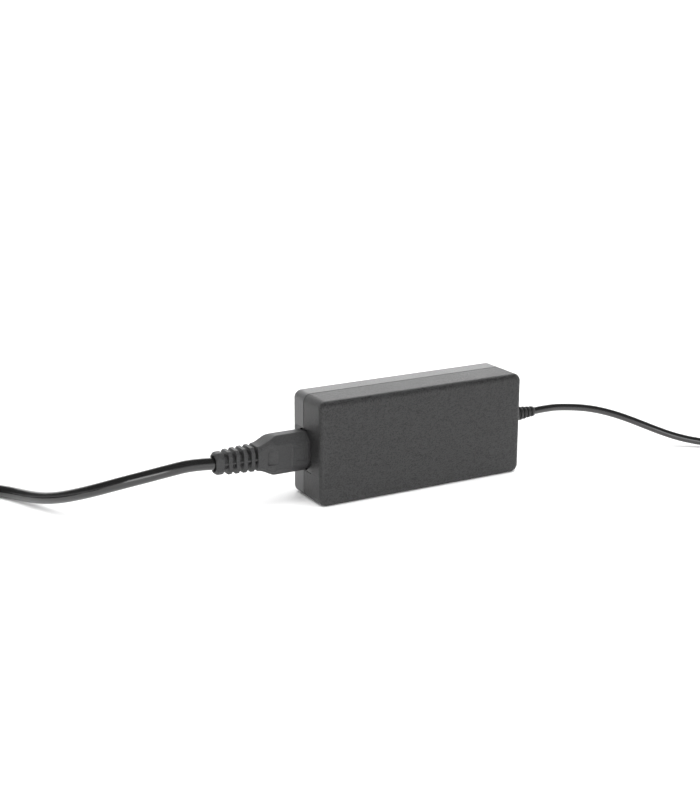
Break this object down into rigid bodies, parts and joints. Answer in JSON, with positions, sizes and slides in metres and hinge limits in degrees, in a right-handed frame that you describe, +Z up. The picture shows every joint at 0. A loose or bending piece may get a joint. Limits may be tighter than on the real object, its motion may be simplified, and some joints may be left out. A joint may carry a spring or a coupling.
{
  "type": "laptop power adapter",
  "caption": "Power brick with a socketed mains lead and a fixed output lead ending in a barrel plug.",
  "frame": {"origin": "centre of the case's footprint, on the surface it stands on", "axes": "+X along the case from the mains inlet to the output lead, -Y out of the large front face, +Z up"},
  "size_m": [0.6095, 0.1699, 0.06],
  "materials": {
    "case_plastic": "fine-grained dark grey moulding, satin",
    "label_film": "plain satin film",
    "inlet_plastic": "smooth black moulding",
    "connector_plastic": "soft dark grey moulding, fine texture",
    "insert_plastic": "hard black moulding",
    "cord_sheath": "smooth glossy black sheath",
    "tie_strap": "matt black strap",
    "relief_rubber": "matt black",
    "plug_plastic": "fine matt grain with a soft sheen",
    "face_plastic": "smooth black moulding",
    "pin_nickel": "nickel plate",
    "barrel_nickel": "nickel plate with light scuffs",
    "tip_plastic": "glossy black",
    "contact_metal": "spring brass",
    "contact_copper": "copper-coloured spring contact",
    "board_laminate": "green solder mask",
    "heatsink_aluminium": "plain",
    "screw_steel": "zinc plate",
    "ferrite": "dull grey",
    "winding_copper": "lacquered copper",
    "winding_tape": "yellow tape",
    "bobbin_plastic": "dark brown",
    "capacitor_sleeve": "shrink sleeve",
    "capacitor_box": "yellow box",
    "disc_ceramic": "blue epoxy coat",
    "dark_epoxy": "moulded epoxy",
    "insulating_film": "white film",
    "wire_insulation": "soft insulation"
  },
  "bodies": {
    "adapter": {"front_shell": "case_plastic", "rear_shell": "case_plastic", "rating_label": "label_film", "inlet_body": "inlet_plastic", "inlet_line_pin": "pin_nickel", "inlet_neutral_pin": "pin_nickel", "inlet_earth_pin": "pin_nickel", "inlet_wires": "wire_insulation", "dc_strain_relief": "relief_rubber", "output_wires": "wire_insulation", "dc_cord": "cord_sheath", "dc_cord_coil": "cord_sheath", "dc_cord_tie": "tie_strap", "dc_cord_end": "cord_sheath", "dc_plug_body": "plug_plastic", "dc_plug_barrel": "barrel_nickel", "dc_plug_insulator": "tip_plastic", "dc_plug_inner_sleeve": "barrel_nickel", "dc_plug_leaf_contact": "contact_copper", "dc_plug_centre_pin": "contact_metal", "rear_heat_spreader": "heatsink_aluminium", "rear_insulating_film": "insulating_film", "front_heat_spreader": "heatsink_aluminium", "front_insulating_film": "insulating_film", "circuit_board": "board_laminate", "fuse": "dark_epoxy", "thermistor": "dark_epoxy", "varistor": "disc_ceramic", "x_capacitor": "capacitor_box", "choke_base": "bobbin_plastic", "choke_core": "ferrite", "choke_windings": "winding_copper", "bridge_rectifier": "dark_epoxy", "bulk_capacitor": "capacitor_sleeve", "primary_heatsink": "heatsink_aluminium", "switching_transistor": "dark_epoxy", "secondary_heatsink": "heatsink_aluminium", "rectifier_diode": "dark_epoxy", "heatsink_screws": "screw_steel", "heatsink_nuts": "screw_steel", "transformer_core": "ferrite", "transformer_bobbin": "bobbin_plastic", "transformer_winding": "winding_tape", "y_capacitor": "disc_ceramic", "optocoupler": "dark_epoxy", "controller_ic": "dark_epoxy", "output_capacitors": "capacitor_sleeve", "output_choke": "ferrite"},
    "mains_lead": {"connector_body": "connector_plastic", "connector_insert": "insert_plastic", "connector_contacts": "contact_metal", "mains_cord": "cord_sheath", "mains_cord_coil": "cord_sheath", "mains_cord_tie": "tie_strap", "wall_plug_body": "plug_plastic", "wall_plug_face": "face_plastic", "wall_plug_pins": "pin_nickel", "wall_plug_earth_clips": "contact_metal", "wall_plug_earth_socket": "contact_metal"}
  },
  "joints": [
    {"name": "mains_connector_slide", "type": "slide", "parent": "adapter", "child": "mains_lead", "axis": [-1, 0, 0], "range_m": [0, 0.025]}
  ]
}
